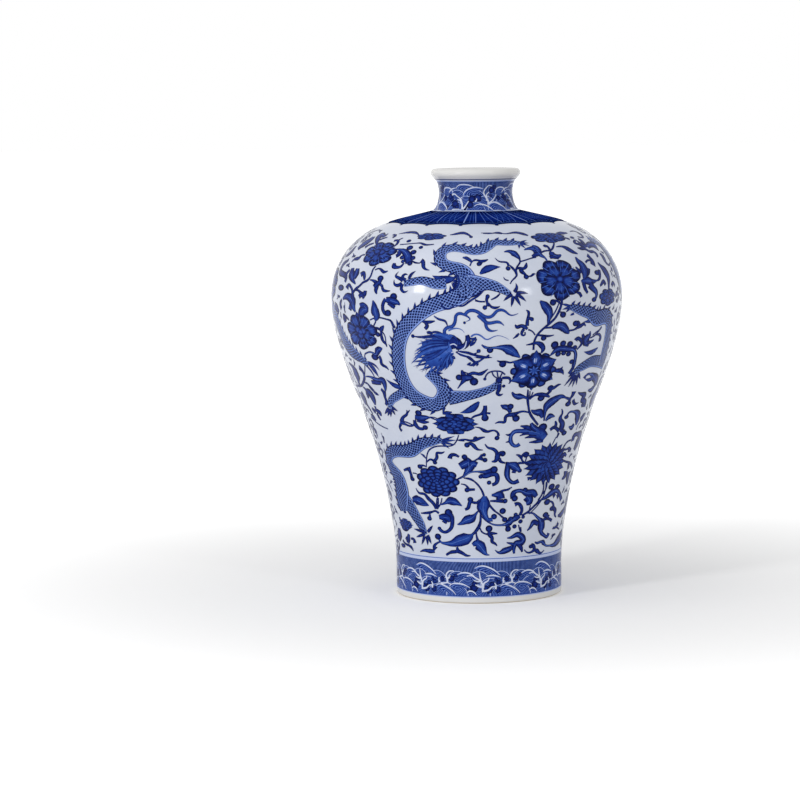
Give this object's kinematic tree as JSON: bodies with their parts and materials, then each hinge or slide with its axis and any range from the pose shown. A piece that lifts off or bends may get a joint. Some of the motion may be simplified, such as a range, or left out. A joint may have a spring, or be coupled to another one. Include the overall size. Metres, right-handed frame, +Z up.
{
  "type": "meiping vase",
  "caption": "High-shouldered porcelain vase with a narrow neck and rolled lip, blue-and-white dragon and lotus painting; hollow, stands on a foot ring.",
  "frame": {"origin": "centre of the foot ring, on the plane that the vase stands on", "axes": "+Z up along the vase's axis, -Y towards the viewer of the front dragon, +X to that viewer's right"},
  "size_m": [0.2352, 0.2352, 0.345],
  "materials": {
    "painted_porcelain": "cobalt-blue painting under a clear, glossy, slightly blue glaze",
    "foot_porcelain": "the same painted glaze, with a bare biscuit ring where the foot rests"
  },
  "bodies": {
    "root": {"foot_and_base": "foot_porcelain", "lower_body": "painted_porcelain", "upper_body": "painted_porcelain", "shoulder": "painted_porcelain", "neck_and_lip": "painted_porcelain"}
  },
  "joints": []
}
